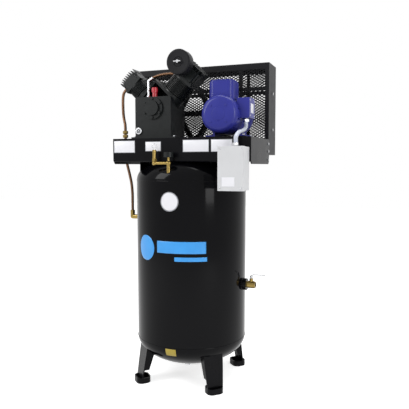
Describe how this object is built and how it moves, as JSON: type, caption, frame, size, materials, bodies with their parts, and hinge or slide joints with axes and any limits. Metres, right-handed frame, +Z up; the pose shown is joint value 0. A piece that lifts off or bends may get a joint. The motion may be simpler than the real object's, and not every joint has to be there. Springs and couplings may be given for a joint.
{
  "type": "vertical tank compressor",
  "caption": "Vertical two-stage air compressor: an upright tank on four legs with a V pump, electric motor, belt guard and starter box on a deck.",
  "frame": {"origin": "on the tank axis at floor level, the centre of the four anchor holes", "axes": "+Z up along the tank axis, front towards -Y, +X to the right"},
  "size_m": [0.8435, 0.66, 1.793],
  "materials": {
    "black_enamel": "gloss",
    "cast_iron": "painted, satin",
    "blue_enamel": "gloss",
    "satin_black": "satin",
    "brass": "turned",
    "steel": "bright",
    "copper": "drawn",
    "grey_enamel": "satin",
    "red_plastic": "gloss",
    "black_rubber": "matt",
    "black_plastic": "matt",
    "filter_paper": "matt"
  },
  "bodies": {
    "root": {"tank_shell": "black_enamel", "tank_top_head": "black_enamel", "tank_bottom_head": "black_enamel", "foot_front_left": "black_enamel", "foot_front_right": "black_enamel", "foot_rear_left": "black_enamel", "foot_rear_right": "black_enamel", "outlet_bung": "black_enamel", "ball_valve_body": "brass", "inlet_bung": "black_enamel", "check_valve": "brass", "riser_tube": "copper", "discharge_tube": "copper", "drain_valve": "brass", "deck": "black_enamel", "deck_supports": "black_enamel", "crankcase": "cast_iron", "front_bearing_cover": "cast_iron", "crank_bearings": "steel", "stage2_cylinder": "cast_iron", "stage2_head": "cast_iron", "stage1_cylinder": "cast_iron", "stage1_head": "cast_iron", "intercooler_tube": "copper", "filter_housing": "satin_black", "filter_cover": "satin_black", "filter_element": "filter_paper", "oil_sight_glass": "steel", "breather_tube": "steel", "motor_frame": "blue_enamel", "motor_front_bell": "blue_enamel", "motor_rear_bell": "blue_enamel", "stator": "steel", "capacitor_cover": "blue_enamel", "motor_conduit_box": "blue_enamel", "motor_base": "black_enamel", "v_belts": "black_rubber", "guard_frame": "satin_black", "guard_mesh": "satin_black", "starter_base": "grey_enamel", "starter_cover": "grey_enamel", "contactor": "black_plastic", "wiring_conduit": "grey_enamel", "manifold": "brass", "gauge_case": "cast_iron", "safety_valve": "brass", "hex_bolts": "steel"},
    "ball_valve": {"ball_valve_ball": "steel", "ball_valve_lever": "steel"},
    "drain_cock": {"drain_handle": "steel"},
    "crank": {"crankshaft": "steel", "flywheel": "cast_iron"},
    "stage2_piston_body": {"stage2_piston": "steel"},
    "stage1_piston_body": {"stage1_piston": "steel"},
    "filter_nut": {"wing_nut": "steel"},
    "oil_filler": {"oil_cap": "red_plastic"},
    "rotor": {"motor_rotor": "steel", "motor_pulley": "cast_iron"},
    "needle": {"gauge_needle": "red_plastic"},
    "relief_pull": {"safety_ring": "steel"}
  },
  "joints": [
    {"name": "crank_spin", "type": "hinge", "parent": "root", "child": "crank", "pos_m": [-0.17, 0, 1.5], "axis": [0, 1, 0], "continuous": true},
    {"name": "motor_spin", "type": "hinge", "parent": "root", "child": "rotor", "pos_m": [0.227, 0, 1.452], "axis": [0, 1, 0], "continuous": true},
    {"name": "stage2_stroke", "type": "slide", "parent": "root", "child": "stage2_piston_body", "axis": [-0.7071, 0, 0.7071], "range_m": [-0.03, 0.03]},
    {"name": "stage1_stroke", "type": "slide", "parent": "root", "child": "stage1_piston_body", "axis": [0.7071, 0, 0.7071], "range_m": [-0.03, 0.03]},
    {"name": "outlet_lever_turn", "type": "hinge", "parent": "root", "child": "ball_valve", "pos_m": [0.351, 0, 0.54], "axis": [0, 0, 1], "range_deg": [-90, 0]},
    {"name": "drain_turn", "type": "hinge", "parent": "root", "child": "drain_cock", "pos_m": [0, 0, 0.068], "axis": [0, 1, 0], "range_deg": [0, 360]},
    {"name": "wing_nut_turn", "type": "hinge", "parent": "root", "child": "filter_nut", "pos_m": [0.004, 0, 1.727], "axis": [0, 1, 0], "continuous": true},
    {"name": "oil_cap_lift", "type": "slide", "parent": "root", "child": "oil_filler", "axis": [0, 0, 1], "range_m": [0, 0.04]},
    {"name": "needle_turn", "type": "hinge", "parent": "root", "child": "needle", "pos_m": [-0.012, -0.284, 1.214], "axis": [0, 0, 1], "range_deg": [-270, 0]},
    {"name": "relief_lift", "type": "slide", "parent": "root", "child": "relief_pull", "axis": [0, 0, 1], "range_m": [0, 0.006], "stiffness_N_per_m": 400}
  ],
  "couplings": [
    {"joint": "motor_spin", "follows": "crank_spin", "ratio": 3.0769}
  ]
}
